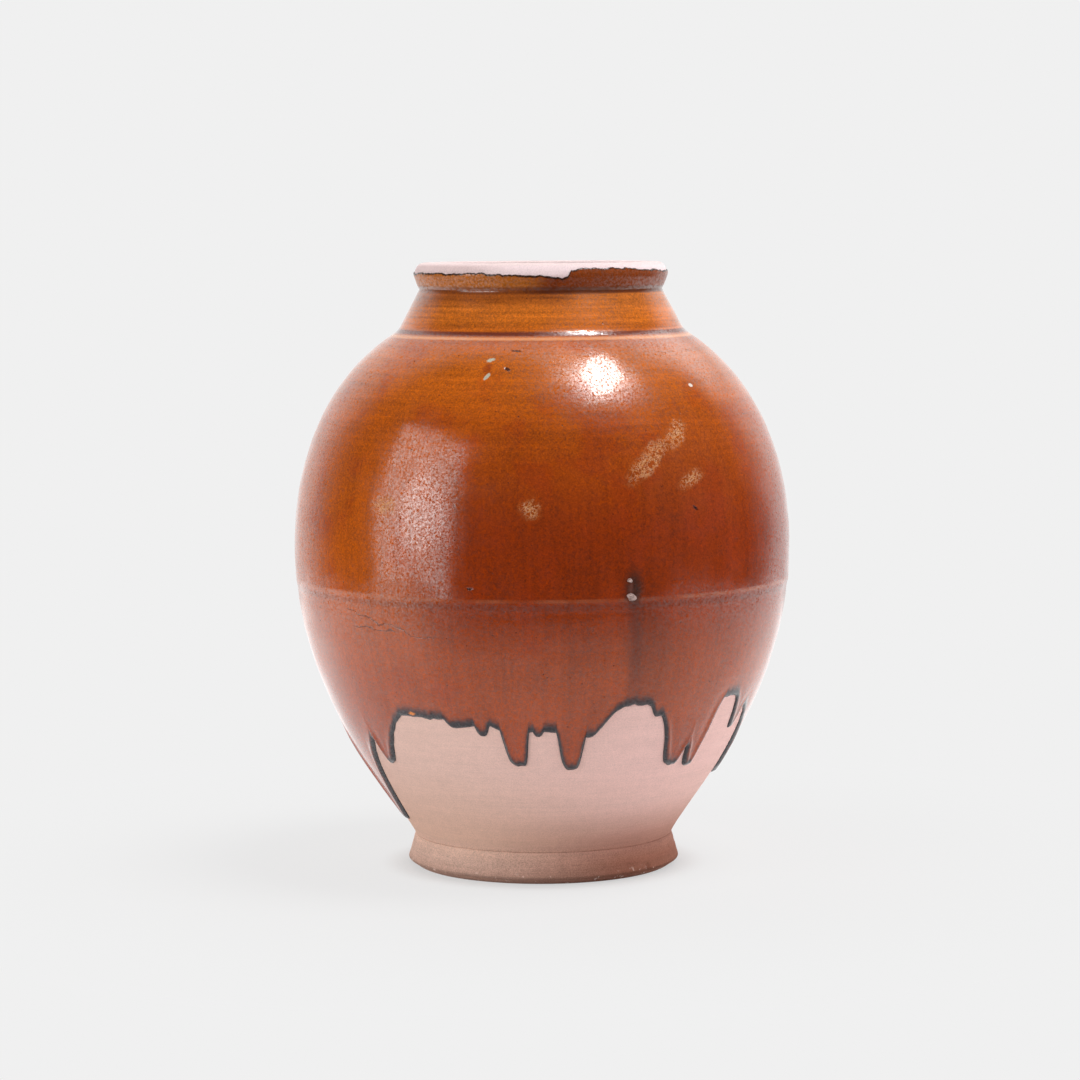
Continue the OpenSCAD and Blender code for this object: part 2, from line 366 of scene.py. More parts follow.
    def noise(self, size, vector=None, detail=2.0, rough=0.5, shift=0.0):
        """A value from 0 to 1 with patches about a size wide."""
        node = self.add("ShaderNodeTexNoise", Vector=vector or self.scaled(), Scale=1 / size)
        node.noise_dimensions = "4D"
        node.inputs["W"].default_value = shift
        node.inputs["Detail"].default_value = detail
        node.inputs["Roughness"].default_value = rough
        return node.outputs["Fac"]

    def specks(self, size, radius, share, vector=None, shift=0.0):
        """Round specks, one to a cell of a size, in a share of the cells."""
        node = self.tree.nodes.new("ShaderNodeTexVoronoi")
        node.voronoi_dimensions = "4D"
        self.put(node.inputs["Vector"], vector or self.scaled())
        self.put(node.inputs["W"], shift)
        self.put(node.inputs["Scale"], 1 / size)
        parts = self.add("ShaderNodeSeparateColor", Color=node.outputs["Color"])
        chosen = self.math("LESS_THAN", parts.outputs["Red"], share)
        grown = self.math("MULTIPLY", parts.outputs["Green"], radius / size)
        near = self.math("SUBTRACT", grown, node.outputs["Distance"])
        round_one = self.math("MULTIPLY", near, 3 * size / radius, clamp=True)
        return self.math("MULTIPLY", round_one, chosen)

    def patch(self, az, z, wide, high, tilt=0.0, soft=0.4, ragged=None):
        """1 inside an ellipse on the wall, with its middle at an azimuth and a height."""
        r = radius_at(SKIN, z)
        a = radians(az)
        slope = np.gradient(SKIN, axis=0)
        i = int(np.argmin(abs(SKIN[:, 1] - z)))
        lean = slope[i] / np.hypot(*slope[i])
        side = Vector((cos(a), sin(a), 0))
        up = Vector((lean[0] * sin(a), -lean[0] * cos(a), lean[1]))
        out = side.cross(up)
        turn = Matrix((side, up, out)).transposed() @ Matrix.Rotation(radians(tilt), 3, "Z")
        node = self.add("ShaderNodeMapping", Vector=ragged or self.place)
        node.vector_type = "TEXTURE"
        node.inputs["Location"].default_value = Vector((r * sin(a), -r * cos(a), z)) * MM
        node.inputs["Rotation"].default_value = turn.to_euler()
        node.inputs["Scale"].default_value = (wide / 2 * MM, high / 2 * MM, 8 * MM)
        far = self.add("ShaderNodeVectorMath", Vector=node.outputs[0])
        far.operation = "LENGTH"
        return self.step(far.outputs["Value"], 1 - soft, 1 + soft, 1.0, 0.0)

    def ragged(self, size, reach):
        """The place pushed about by noise, so that a patch gets a ragged edge."""
        node = self.add("ShaderNodeTexNoise", Vector=self.scaled(), Scale=1 / size)
        moved = self.add("ShaderNodeVectorMath", Vector=node.outputs["Color"])
        moved.operation = "SUBTRACT"
        moved.inputs[1].default_value = (0.5, 0.5, 0.5)
        scaled = self.add("ShaderNodeVectorMath", Vector=moved.outputs[0])
        scaled.operation = "SCALE"
        scaled.inputs["Scale"].default_value = 2 * reach * MM
        out = self.add("ShaderNodeVectorMath", Vector=self.place)
        out.operation = "ADD"
        self.tree.links.new(scaled.outputs[0], out.inputs[1])
        return out.outputs[0]

    def value(self, name):
        """A number that the mesh holds at its points."""
        node = self.tree.nodes.new("ShaderNodeAttribute")
        node.attribute_name = name
        return node.outputs["Fac"]

    def add_up(self, *values):
        total = values[0]
        for value in values[1:]:
            total = self.math("ADD", total, value)
        return total

    def largest(self, *values):
        total = values[0]
        for value in values[1:]:
            total = self.math("MAXIMUM", total, value)
        return total

    def finish(self, colour, roughness, height, strength=1.0):
        """Joins the colour, the roughness and a height in millimetres to the shader."""
        self.put(self.shader.inputs["Base Color"], colour)
        self.put(self.shader.inputs["Roughness"], roughness)
        bump = self.add("ShaderNodeBump", Height=height)
        bump.inputs["Distance"].default_value = MM
        bump.inputs["Strength"].default_value = strength
        self.put(self.shader.inputs["Normal"], bump.outputs["Normal"])
        return self.material


def srgb(red, green, blue):
    """A colour as it looks on a screen, from 0 to 255, as the linear values that shaders use."""
    parts = np.array([red, green, blue]) / 255
    linear = np.where(parts < 0.04045, parts / 12.92, ((parts + 0.055) / 1.055) ** 2.4)
    return tuple(float(v) for v in linear)


# ---- Materials ----

def glaze_paint():
    p = Paint("amber_glaze")
    p.shader.inputs["IOR"].default_value = 1.5
    to_edge, to_top = p.value("to_edge"), p.value("to_top")

    # The coat is amber, with a colour for each height, and darker round the belly except on the
    # left side, round azimuth -97.
    colour = p.ramp(p.z, [
        (60, srgb(154, 61, 17)),
        (100, srgb(162, 69, 16)),
        (160, srgb(177, 83, 13)),
        (225, srgb(178, 84, 13)),
        (256, srgb(191, 97, 19)),
        (264, srgb(178, 85, 24)),
        (272, srgb(196, 102, 24)),
        (300, srgb(191, 110, 44)),
    ])
    away = p.step(p.math("ABSOLUTE", p.math("SUBTRACT", p.turn, -97)), 55, 82)
    thick = p.math("MULTIPLY", p.step(p.z, 88, 147), p.step(p.z, 248, 168))
    colour = p.mix(p.math("MULTIPLY", p.math("MULTIPLY", thick, away), 0.92), colour, srgb(131, 43, 5))
    red_patches = p.step(p.noise(24, None, 3, 0.6, shift=7.0), 0.5, 0.68, 0.08, 0.45)
    red_patches = p.math("MULTIPLY", red_patches, p.step(p.z, SHOULDER_Z + 2, SHOULDER_Z - 6))
    colour = p.mix(red_patches, colour, srgb(150, 50, 12))
    # Painted shade on the top of the neck under the rim, from the front round the left side.
    neck_painted_shade = p.math("MULTIPLY", p.step(p.z, 277, 284), p.step(p.turn, 24, 4))
    colour = p.mix(p.math("MULTIPLY", neck_painted_shade, 0.6), colour, srgb(130, 60, 18))
    # Down the belly the coat ran in upright streaks, on the shoulder it follows the rings, and
    # it is mottled all over.
    on_belly, on_shoulder = p.step(p.z, 235, 185), p.step(p.z, 190, 228)
    clouds = p.swing(p.noise(30, p.scaled(1, 0.8), 3), 0.6)
    streaks = p.math("MULTIPLY", p.swing(p.noise(3.0, p.wrapped(1, 0.05), 3, 0.65), 0.65), on_belly)
    ring_share = p.math("ADD", on_shoulder, p.step(p.z, SHOULDER_Z - 1, SHOULDER_Z + 3))
    rings = p.math("MULTIPLY", p.swing(p.noise(2.0, p.scaled(0.03, 1), 3, 0.65), 0.9), ring_share)
    mottle = p.swing(p.noise(1.7, None, 3, 0.7), 1.0)
    grain = p.noise(0.75, None, 1, 0.5, shift=2.0)
    fine = p.swing(grain, 1.2)
    colour = p.shaded(colour, p.add_up(1.06, clouds, streaks, rings, mottle, fine))

    # Iron specks, and the pinholes that bubbles left.
    large = p.specks(7, 0.8, 0.3)
    small = p.specks(1.8, 0.5, 0.45, shift=3.0)
    colour = p.mix(p.math("MULTIPLY", small, 0.75), colour, srgb(62, 22, 12))
    colour = p.mix(p.math("MULTIPLY", large, 0.85), colour, srgb(44, 18, 12))

    # The glaze pooled dark at the foot of the neck and is thin just below. The dark band under the
    # rim is partly pooled glaze and partly painted shadow of the rim.
    thin_line = p.band(p.z, SHOULDER_Z - 0.9, 0.2, 0.8)
    colour = p.mix(p.math("MULTIPLY", thin_line, 0.75), colour, srgb(238, 160, 104))
    pooled = p.band(p.z, SHOULDER_Z + 1.3, 0.5, 0.9)
    colour = p.mix(p.math("MULTIPLY", pooled, 0.8), colour, srgb(92, 38, 36))
    on_rim = p.step(p.z, GROOVE_Z + 0.5, GROOVE_Z + 2.5)
    rim_coat = p.mix(p.step(p.turn, -9, 6), srgb(178, 102, 34), srgb(126, 53, 18))
    rim_coat = p.shaded(rim_coat, p.add_up(1.0, p.swing(p.noise(1.3, None, 4, 0.7), 2.2)))
    colour = p.mix(p.math("MULTIPLY", on_rim, 0.9), colour, rim_coat)
    # Under the rim: pooled glaze and painted shadow of the rim, stronger on the right.
    rim_pool_and_shadow = p.band(p.z, GROOVE_Z + 0.4, 1.0, 1.4)
    colour = p.mix(p.math("MULTIPLY", rim_pool_and_shadow, p.step(p.turn, -14, 4, 0.45, 0.85)), colour, srgb(84, 34, 18))

    # Over the joint in the belly the strip is pale and a band below it dark: thin coat on the ridge
    # with painted highlight, and thick coat below it with painted shadow.
    pale_strip_share = p.step(p.noise(16, p.wrapped(1, 0.2), 2), 0.35, 0.6, 0.3, 1.0)
    strip = p.math("MULTIPLY", p.band(p.z, SEAM_Z + 1.2, 0.3, 1.0), pale_strip_share)
    colour = p.mix(p.math("MULTIPLY", strip, 0.35), colour, srgb(188, 112, 76))
    # The dark band below the ridge: thick coat and painted shadow.
    colour = p.mix(p.math("MULTIPLY", p.band(p.z, SEAM_Z - 2.0, 0.6, 1.4), 0.28), colour, srgb(84, 30, 10))

    # Both edges of the coat are dark where iron gathered.
    frayed = p.math("MULTIPLY", p.math("SUBTRACT", p.noise(3.0, None, 2), 0.5), 2.4)
    from_edge = p.math("ADD", to_edge, frayed)
    colour = p.mix(p.step(from_edge, 5.5, 1.8, 0, 0.45), colour, srgb(86, 32, 18))
    colour = p.mix(p.step(from_edge, 4.0, 1.3), colour, srgb(44, 36, 42))
    from_top = p.math("ADD", to_top, p.math("MULTIPLY", frayed, 0.35))
    colour = p.mix(p.step(from_top, 1.1, 0.5, 0, 0.95), colour, srgb(40, 22, 18))

    # Marks: the scar round the kiln grit and the dark streak below it, chips, scuffs, dashes.
    torn = p.ragged(2.2, 1.3)
    frizzy = p.ragged(1.1, 0.8)
    streak = p.patch(21.5, 124, 6.5, 60, tilt=5, soft=0.9, ragged=torn)
    colour = p.mix(p.math("MULTIPLY", streak, 0.4), colour, srgb(62, 28, 26))
    wide_streak = p.patch(24.5, 124, 21, 66, tilt=3, soft=0.6, ragged=torn)
    colour = p.mix(p.math("MULTIPLY", wide_streak, 0.3), colour, srgb(84, 34, 14))
    halo = p.patch(20.3, 149.5, 8.5, 15, tilt=0, soft=0.65, ragged=torn)
    colour = p.mix(p.math("MULTIPLY", halo, 0.8), colour, srgb(52, 38, 32))
    link = p.patch(19.6, 150, 2.2, 6, soft=0.5, ragged=frizzy)
    colour = p.mix(p.math("MULTIPLY", link, 0.8), colour, srgb(110, 62, 50))
    orange = p.patch(-35.3, 87.6, 3.4, 1.8, soft=0.4, ragged=frizzy)
    colour = p.mix(orange, colour, srgb(226, 128, 40))
    rubbed = p.ragged(5, 3.2)
    scuffs = p.largest(
        p.patch(26, 208.5, 27, 8, tilt=40, soft=0.6, ragged=rubbed),
        p.patch(35, 219.5, 14, 8, tilt=45, soft=0.6, ragged=rubbed),
        p.patch(36.5, 199, 13, 6, tilt=20, soft=0.7, ragged=rubbed),
        p.patch(-2.6, 187, 7, 9, soft=0.7, ragged=rubbed),
        p.patch(-38, 187, 11, 7, soft=0.8, ragged=rubbed),
    )
    # Crazing: the level lines of two noises.
    crazed = p.largest(
        p.band(p.noise(3.2, None, 3, 0.6), 0.5, 0.006, 0.03),
        p.band(p.noise(2.4, None, 3, 0.6, shift=4.0), 0.5, 0.006, 0.03),
    )
    worn = p.math("MULTIPLY", scuffs, crazed)
    colour = p.mix(p.math("MULTIPLY", scuffs, 0.14), colour, srgb(200, 112, 34))
    colour = p.mix(p.math("MULTIPLY", worn, 0.55), colour, srgb(236, 178, 112))
    cracks = p.largest(
        p.crack((-49, 136.5), (-26, 125), 0.25, 9),
        p.crack((-47, 129), (-36, 127.5), 0.2, 6),
        p.crack((118, 190), (141, 176), 0.25, 9),
    )
    colour = p.mix(p.math("MULTIPLY", cracks, 0.7), colour, srgb(62, 26, 16))
    chips = p.largest(
        p.patch(-16, 254.3, 4.0, 2.0, tilt=30, soft=0.3, ragged=frizzy),
        p.patch(-15.9, 246.8, 1.8, 4.6, tilt=-28, soft=0.3, ragged=frizzy),
    )
    red = p.patch(-16.3, 250.5, 4, 6, soft=0.6, ragged=torn)
    colour = p.mix(p.math("MULTIPLY", red, 0.6), colour, srgb(128, 36, 10))
    colour = p.mix(chips, colour, srgb(184, 178, 158))
    dashes = p.largest(
        p.patch(-8.3, 258.4, 5, 1.2, tilt=-8, soft=0.4, ragged=frizzy),
        p.patch(-10.2, 250.3, 3.2, 1.8, tilt=-40, soft=0.4, ragged=frizzy),
        p.patch(36.6, 185.4, 3.4, 1.3, tilt=-38, soft=0.4, ragged=frizzy),
        p.patch(-16, 150, 2.6, 1.4, soft=0.4, ragged=frizzy),
    )
    colour = p.mix(p.math("MULTIPLY", dashes, 0.9), colour, srgb(48, 22, 20))
    dot = p.patch(46.5, 241.3, 2.6, 2.0, soft=0.3)
    colour = p.mix(dot, colour, srgb(240, 226, 214))

    # Gloss, with the skin of an orange, pinholes and a little of the rings under it.
    cloudy = p.noise(12, None, 3)
    roughness = p.step(cloudy, 0.3, 0.7, 0.13, 0.20)
    roughness = p.math("ADD", roughness, p.math("MULTIPLY", p.largest(worn, chips), 0.4))
    roughness = p.math("ADD", roughness, p.math("MULTIPLY", on_rim, 0.12))
    peel = p.math("MULTIPLY", p.noise(1.5, None, 2, 0.5), 0.020)
    peel = p.add_up(peel, p.math("MULTIPLY", grain, 0.014))
    uneven = p.add_up(p.swing(grain, -2.6), p.swing(p.noise(1.2, None, 2), -1.8))
    uneven = p.math("MULTIPLY", uneven, p.step(p.z, 120, 150, 0.45, 1.0))
    dull = p.add_up(0.56, uneven, p.math("MULTIPLY", small, -0.4), p.math("MULTIPLY", on_rim, -0.25))
    p.put(p.shader.inputs["Specular IOR Level"], p.math("MAXIMUM", dull, 0.02))
    swell = p.math("MULTIPLY", p.noise(5, None, 1), 0.03)
    lines = p.math("MULTIPLY", p.noise(1.4, p.scaled(0.03, 1), 2), 0.010)
    pits = p.math("MULTIPLY", p.add_up(large, small), -0.05)
    torn_off = p.math("MULTIPLY", p.add_up(chips, worn, p.math("MULTIPLY", dashes, 2.0)), -0.10)
    rough_halo = p.math("MULTIPLY", p.math("MULTIPLY", halo, p.noise(1.2, None, 3)), 0.25)
    height = p.add_up(peel, swell, lines, pits, torn_off, rough_halo, p.math("MULTIPLY", cracks, -0.08))
    return p.finish(colour, roughness, height)


def fired_clay(p, colour, rough, lined):
    """Bare fired clay over a base colour: turning lines, grain, grog and iron pits. rough and
    lined are how much of each it has. Returns the colour and the height."""
    p.shader.inputs["IOR"].default_value = 1.45
    p.shader.inputs["Specular IOR Level"].default_value = 0.25
    lines = p.noise(1.1, p.scaled(0.035, 1), 3, 0.6)
    wide_lines = p.noise(5.5, p.scaled(0.03, 1), 2)
    grain = p.noise(0.6, None, 2, 0.6)
    patches = p.noise(5, None, 5, 0.7)
    drawn = p.math("MULTIPLY", p.add_up(p.swing(lines, 0.18), p.swing(wide_lines, 0.10)), lined)
    grained = p.math("MULTIPLY", p.add_up(p.swing(grain, 0.55), p.swing(patches, 0.2)), rough)
    colour = p.shaded(colour, p.add_up(1.0, drawn, grained))
    grog = p.specks(4.5, 0.6, 0.3)
    colour = p.mix(p.math("MULTIPLY", grog, 0.5), colour, srgb(244, 226, 214))
    iron = p.specks(7, 0.5, 0.3, shift=5.0)
    colour = p.mix(p.math("MULTIPLY", iron, 0.7), colour, srgb(120, 78, 62))
    ridges = p.math("MULTIPLY", lines, 0.08)
    sand = p.math("MULTIPLY", p.noise(0.8, None, 3, 0.7), 0.08)
    return colour, p.add_up(ridges, sand, p.math("MULTIPLY", iron, -0.15))


def body_clay_paint():
    p = Paint("bare_clay")
    # Darker towards the bottom of the foot; on the right side the foot is darker and redder and the
    # wall above it paler.
    pale = p.ramp(p.z, [
        (0, srgb(182, 144, 128)),
        (9, srgb(217, 182, 165)),
        (22, srgb(230, 192, 172)),
        (60, srgb(232, 197, 184)),
    ])
    right_side_colour = p.ramp(p.z, [
        (0, srgb(132, 86, 68)),
        (9, srgb(158, 105, 87)),
        (22, srgb(194, 147, 132)),
        (40, srgb(238, 198, 189)),
        (60, srgb(247, 206, 199)),
    ])
    on_right = p.math("MULTIPLY", p.step(p.turn, -42, 42), p.step(p.turn, 176, 120))
    at_foot = p.step(p.z, 20, 14)
    colour = p.mix(on_right, pale, right_side_colour)
    colour, height = fired_clay(p, colour, p.step(at_foot, 0, 1, 1.0, 2.2), p.step(at_foot, 0, 1, 1.0, 2.2))
    # A darker line round the bevel, and chips there that show paler clay.
    colour = p.mix(p.band(p.z, 3.2, 0.3, 0.7), colour, p.shaded(colour, 0.72))
    chipped = p.math("MULTIPLY", p.step(p.noise(3.2, None, 3, 0.7), 0.60, 0.68), p.step(p.z, 7, 3))
    colour = p.mix(p.math("MULTIPLY", chipped, 0.8), colour, srgb(240, 214, 200))
    return p.finish(colour, 0.86, height)


def rim_clay_paint():
    p = Paint("rim_clay")
    face = p.mix(p.step(p.turn, -38, -8), srgb(226, 200, 198), srgb(252, 228, 229))
    colour = p.mix(p.step(p.z, 298, 299.6), face, srgb(248, 224, 222))
    colour, height = fired_clay(p, colour, 1.0, 0.6)
    return p.finish(colour, 0.7, height)


def lining_paint():
    p = Paint("lining_glaze")
    colour = p.ramp(p.z, [
        (10, srgb(96, 42, 18)),
        (60, srgb(120, 52, 18)),
        (200, srgb(140, 64, 22)),
        (288, srgb(160, 84, 32)),
        (300, srgb(176, 104, 52)),
    ])
    clouds = p.noise(22, None, 3)
    colour = p.mix(p.step(clouds, 0.45, 0.7, 0, 0.5), colour, srgb(84, 34, 14))
    rings = p.noise(4, p.scaled(0.03, 1), 3)
    colour = p.mix(p.step(rings, 0.5, 0.75, 0, 0.5), colour, srgb(176, 96, 36))
    specks = p.specks(5, 0.7, 0.35)
    colour = p.mix(p.math("MULTIPLY", specks, 0.8), colour, srgb(44, 20, 12))
    roughness = p.step(p.noise(10), 0.3, 0.7, 0.2, 0.34)
    height = p.add_up(p.math("MULTIPLY", p.noise(1.8, None, 2), 0.03), p.math("MULTIPLY", specks, -0.06))
    return p.finish(colour, roughness, height)


def grit_paint():
    p = Paint("grit")
    colour = p.mix(p.step(p.noise(1.4, None, 4, 0.7), 0.35, 0.65), srgb(120, 92, 86), srgb(204, 178, 170))
    colour = p.mix(p.math("MULTIPLY", p.specks(1.1, 0.4, 0.5), 0.6), colour, srgb(84, 60, 56))
    height = p.math("MULTIPLY", p.noise(0.8, None, 3, 0.7), 0.25)
    return p.finish(colour, 0.42, height)


# ---- The pieces ----

def hang(run, az):
    at, length, left, right, steep = run
    turn = (az - at + 180) % 360 - 180
    return length / (1 + (abs(turn) / np.where(turn < 0, left, right)) ** steep)


def edge_z(az):
    """The height of the glaze's lower edge, with the small raggedness of a real run."""
    plain = GLAZE_EDGE_Z - np.max([hang(run, az) for run in RUNS], axis=0)
    return plain + 0.45 * noise(az, 0, 2.6, 99, 11) + 0.35 * noise(az, 0, 6.5, 99, 12)


def top_z(az):
    """The height of the glaze's upper edge on the rim, which was wiped unevenly."""
    turn = (np.asarray(az, float) + 180) % 360 - 180
    raised = 3.4 * smooth_step(turn, 11.6, 14.0) + 1.0 * smooth_step(turn, 14, 20)
    raised = raised - 2.3 * smooth_step(turn, 100, 140)
    level = 295.1 - smooth_step(turn, -24, -6) - 1.1 * smooth_step(turn, -1, 8) + raised
    level = level - 0.8 * smooth_step(turn, 44, 51) - 0.9 * smooth_step(turn, 60, 74)
    return level + 0.35 * noise(az, 0, 9, 99, 13) + 0.3 * noise(az, 0, 4, 99, 14) + 0.2 * noise(az, 0, 1.6, 99, 15)


def from_edge(az, z, reach=7.0, step=0.06):
    """The distance along the wall from each point of a grid to the glaze's lower edge."""
    nearest = np.full(z.shape, 99.0)
    radius = radius_at(SKIN, z)
    for shift in np.arange(-reach, reach + step / 2, step):
        off = np.hypot(radius * radians(shift), z - edge_z(az + shift)[None, :])
        np.minimum(nearest, off, out=nearest)
    return nearest


def glaze_outline():
    """The outside of an even coat over the whole skin, with the glaze pooled in its corners."""
    line = soften(SKIN, 0.25, 0.55)
    return line, normals(line)


def poured_glaze(material):
    fine, coarse = 1080, 360
    skirt_top, skirt_rows = GLAZE_EDGE_Z + 8, 38
    line, out = glaze_outline()

    def point(az, z, thick, columns):
        """The ring on the coat whose foot on the skin is at a height z for each column."""
        r = radius_at(line, z)
        nr = np.interp(z, line[:, 1], out[:, 0])
        nz = np.interp(z, line[:, 1], out[:, 1])
        lift = wobble(az, z) + seam_ridge(z) + thick
        return ring(r + nr * lift, z + nz * lift, columns)

    # The skirt: rows that crowd towards the ragged edge.
    az = azimuths(fine)
    edge = edge_z(az)
    share = np.linspace(0, 1, skirt_rows + 1)[:, None] ** 2.1
    z = edge + (skirt_top - edge) * share
    near = from_edge(az, z)
    near[0] = 0
    tip = np.clip((GLAZE_EDGE_Z - 14 - edge) / 22, 0, 1)
    # A rounded edge, a bead behind it, and a swollen drop at the foot of each long run.
    rounded = np.sqrt(np.clip(1 - (1 - np.clip(near / 1.1, 0, 1)) ** 2, 0, 1))
    bead = (0.28 + 0.27 * tip) * np.exp(-(((near - 1.6) / 1.5) ** 2))
    drop = 0.7 * tip * np.exp(-(((z - edge - 4.5) / 6.0) ** 2)) * smooth_step(near, 0.3, 2.6)
    thick = rounded * (0.75 * GLAZE_T + bead + drop) - 0.12 * (near < 0.05)
    thick += 0.25 * GLAZE_T * smooth_step(near, 3, 9)

    rings, to_edge, to_top = [], [], []
    # The hidden side, a little inside the clay, is coarse.
    under = 0.25
    az_c = azimuths(coarse)
    inner_z = np.r_[np.linspace(288, SHOULDER_Z + 6, 4), np.linspace(SHOULDER_Z - 2, skirt_top, 24)]
    top = top_z(az_c)

    # Where the edge runs upright the dark line along it is thinner, so its distance counts more.
    level_part = np.clip(near / np.maximum(z - edge, 0.05), 0, 1)
    counted = near * (2.3 - 1.65 * level_part)

    def keep(points, edge_off, top_off):
        rings.append(points)
        to_edge.append(np.broadcast_to(edge_off, len(points)))
        to_top.append(np.broadcast_to(top_off, len(points)))

    for row in range(skirt_rows + 1):
        keep(point(az, z[row], thick[row], fine), counted[row], 99)
    # Above the skirt, up to the ragged line on the rim.
    body_z = np.linspace(skirt_top + 2, SHOULDER_Z - 1.5, 58)
    neck_z = np.linspace(SHOULDER_Z - 0.5, GROOVE_Z - 1.5, 24)
    groove_z = np.linspace(GROOVE_Z - 0.8, GROOVE_Z + 3.5, 8)
    for level in np.r_[body_z, neck_z, groove_z]:
        coat = GLAZE_T * (0.9 + 0.15 * noise(az_c, level, 20, 16, 21))
        keep(point(az_c, np.full(coarse, level), coat, coarse), 99, 99)
    last = groove_z[-1]
    rim_az = azimuths(fine)
    rim_top = top_z(rim_az)
    for part in (0.15, 0.35, 0.55, 0.7, 0.82, 0.9, 0.96, 1.0):
        level = last + (rim_top - last) * part
        off = rim_top - level
        coat = 0.55 * GLAZE_T * np.sqrt(np.clip(1 - (1 - np.clip(off / 0.8, 0, 1)) ** 2, 0, 1)) - 0.1 * (off < 0.01)
        coat = coat + 0.25 * GLAZE_T * smooth_step(off, 1.5, 5)
        keep(point(rim_az, level, coat, fine), 99, off)
    # Back down the hidden side.
    for level in inner_z:
        keep(point(az_c, np.full(coarse, level), -under - seam_ridge(level), coarse), 99, 99)
    for share_down in (0.7, 0.4, 0.15):
        level = edge + (skirt_top - edge) * share_down
        keep(point(az, level, -under, fine), 99, 99)
    return turned("poured_glaze", rings, material, values={"to_edge": to_edge, "to_top": to_top})


def lower_wall(material):
    """The bare lower half, from the waist to the belly seam, with turning lines and pits."""
    fine = 720
    az = azimuths(fine)
    rings = []
    outer_z = np.r_[np.linspace(FOOT_H, 100, 112), np.linspace(104, SEAM_Z - SEAM_W / 2, 9)]
    for level in outer_z:
        r = radius_at(BODY, level)
        lines = 0.05 * noise(az, level + az / 360 * 2, 300, 1.9, 31) + 0.05 * noise(az, level, 24, 3.1, 32)
        lift = wobble(az, level) + lines * smooth_step(level, FOOT_H, FOOT_H + 3)
        rings.append(ring(r + lift - 0.1, level, fine))
    coarse = 180
    rings.append(ring(radius_at(BODY, SEAM_Z) - SEAM_DEPTH, SEAM_Z, coarse))
    for level in np.linspace(SEAM_Z, FLOOR_Z + FLOOR_ROUND, 24):
        rings.append(ring(radius_at(INSIDE, level), level, coarse))
    corner = radius_at(INSIDE, FLOOR_Z)
    turn_in = bezier([
        (radius_at(INSIDE, FLOOR_Z + FLOOR_ROUND), FLOOR_Z + FLOOR_ROUND),
        (corner, FLOOR_Z + FLOOR_ROUND / 3),
        (corner - FLOOR_ROUND / 3, FLOOR_Z),
        (corner - FLOOR_ROUND, FLOOR_Z),
    ], 8)[1:]
    for r, level in turn_in:
        rings.append(ring(r, level, coarse))
    rings.append(ring(SLAB_R, FLOOR_Z, coarse))
    rings.append(ring(SLAB_R, FOOT_H, coarse))
    return turned("lower_wall", rings, material)


def splayed_foot(material):
    """The foot: bevel, flare and waist with trimming lines, a nick, pits and a chamfer inside."""
    fine = 720
    az = azimuths(fine)
    outline = soften([
        (FOOT_CONTACT_R - 4, 0), (FOOT_CONTACT_R, 0), (FOOT_FLARE_R, FOOT_BEVEL_H), (WAIST_R, FOOT_H),
    ], 0.4, 0.45)
    out = normals(outline)
    pits = [(-26.6, 13.5, 1.6, 0.7), (-15, 6.8, 1.4, 0.6), (49.5, 4.9, 2.2, 1.3), (12, 9.2, 0.9, 0.3),
            (-47, 8.1, 1.2, 0.4), (71, 10.4, 1.1, 0.4), (118, 7.0, 1.8, 0.6), (-121, 5.6, 2.0, 0.9),
            (163, 11.2, 1.2, 0.4)]
    rings = []
    for (r, level), (nr, nz) in zip(outline, out):
        lines = 0.10 * noise(az, level + az / 360 * 2.2, 300, 2.2, 41) + 0.06 * noise(az, level, 26, 3.1, 42)
        lift = lines * smooth_step(level, 0.2, 2) * (1 - smooth_step(level, FOOT_H - 2, FOOT_H))
        worn = 0.35 * smooth_step(noise(az, 0, 22, 99, 43), 0.1, 0.9) * np.exp(-(((level - FOOT_BEVEL_H) / 1.6) ** 2))
        lift = lift - worn
        for at, height, size, deep in pits:
            off = np.hypot(((az - at + 180) % 360 - 180) * radians(1) * r, level - height)
            lift = lift - deep * np.exp(-((off / size) ** 2) * 1.6)
        rings.append(ring(r + nr * lift, np.maximum(level + nz * lift, 0), fine))
    coarse = 240
    inner = [(SLAB_R, FOOT_H), (SLAB_R, RECESS_H), (RECESS_R, RECESS_H), (RECESS_R, 4.2), (RECESS_R, 1.5), (RECESS_R + 1.5, 0)]
    for r, level in inner:
        rings.append(ring(r, level, coarse))
    for r in np.linspace(RECESS_R + 3, FOOT_CONTACT_R - 4.4, 4):
        rings.append(ring(r, 0, coarse))
    return turned("splayed_foot", rings, material)


def trimmed_base(material):
    """The base slab, with the spiral that the trimming tool left underneath."""
    columns = 240
    az = azimuths(columns)
    rings = [ring(0.02, FLOOR_Z, columns), ring(0.02, RECESS_H + 0.2, columns)]
    for r in np.arange(1.2, RECESS_R - 0.2, 0.9):
        mark = 0.2 * np.sin(2 * pi * (r / 4.2 - az / 360)) * smooth_step(r, 1, 6) * (1 - smooth_step(r, RECESS_R - 5, RECESS_R - 1))
        rings.append(ring(r, RECESS_H + 0.25 + mark, columns))
    rings += [ring(SLAB_R, RECESS_H, columns), ring(SLAB_R, FLOOR_Z, columns)]
    return turned("trimmed_base", rings, material)


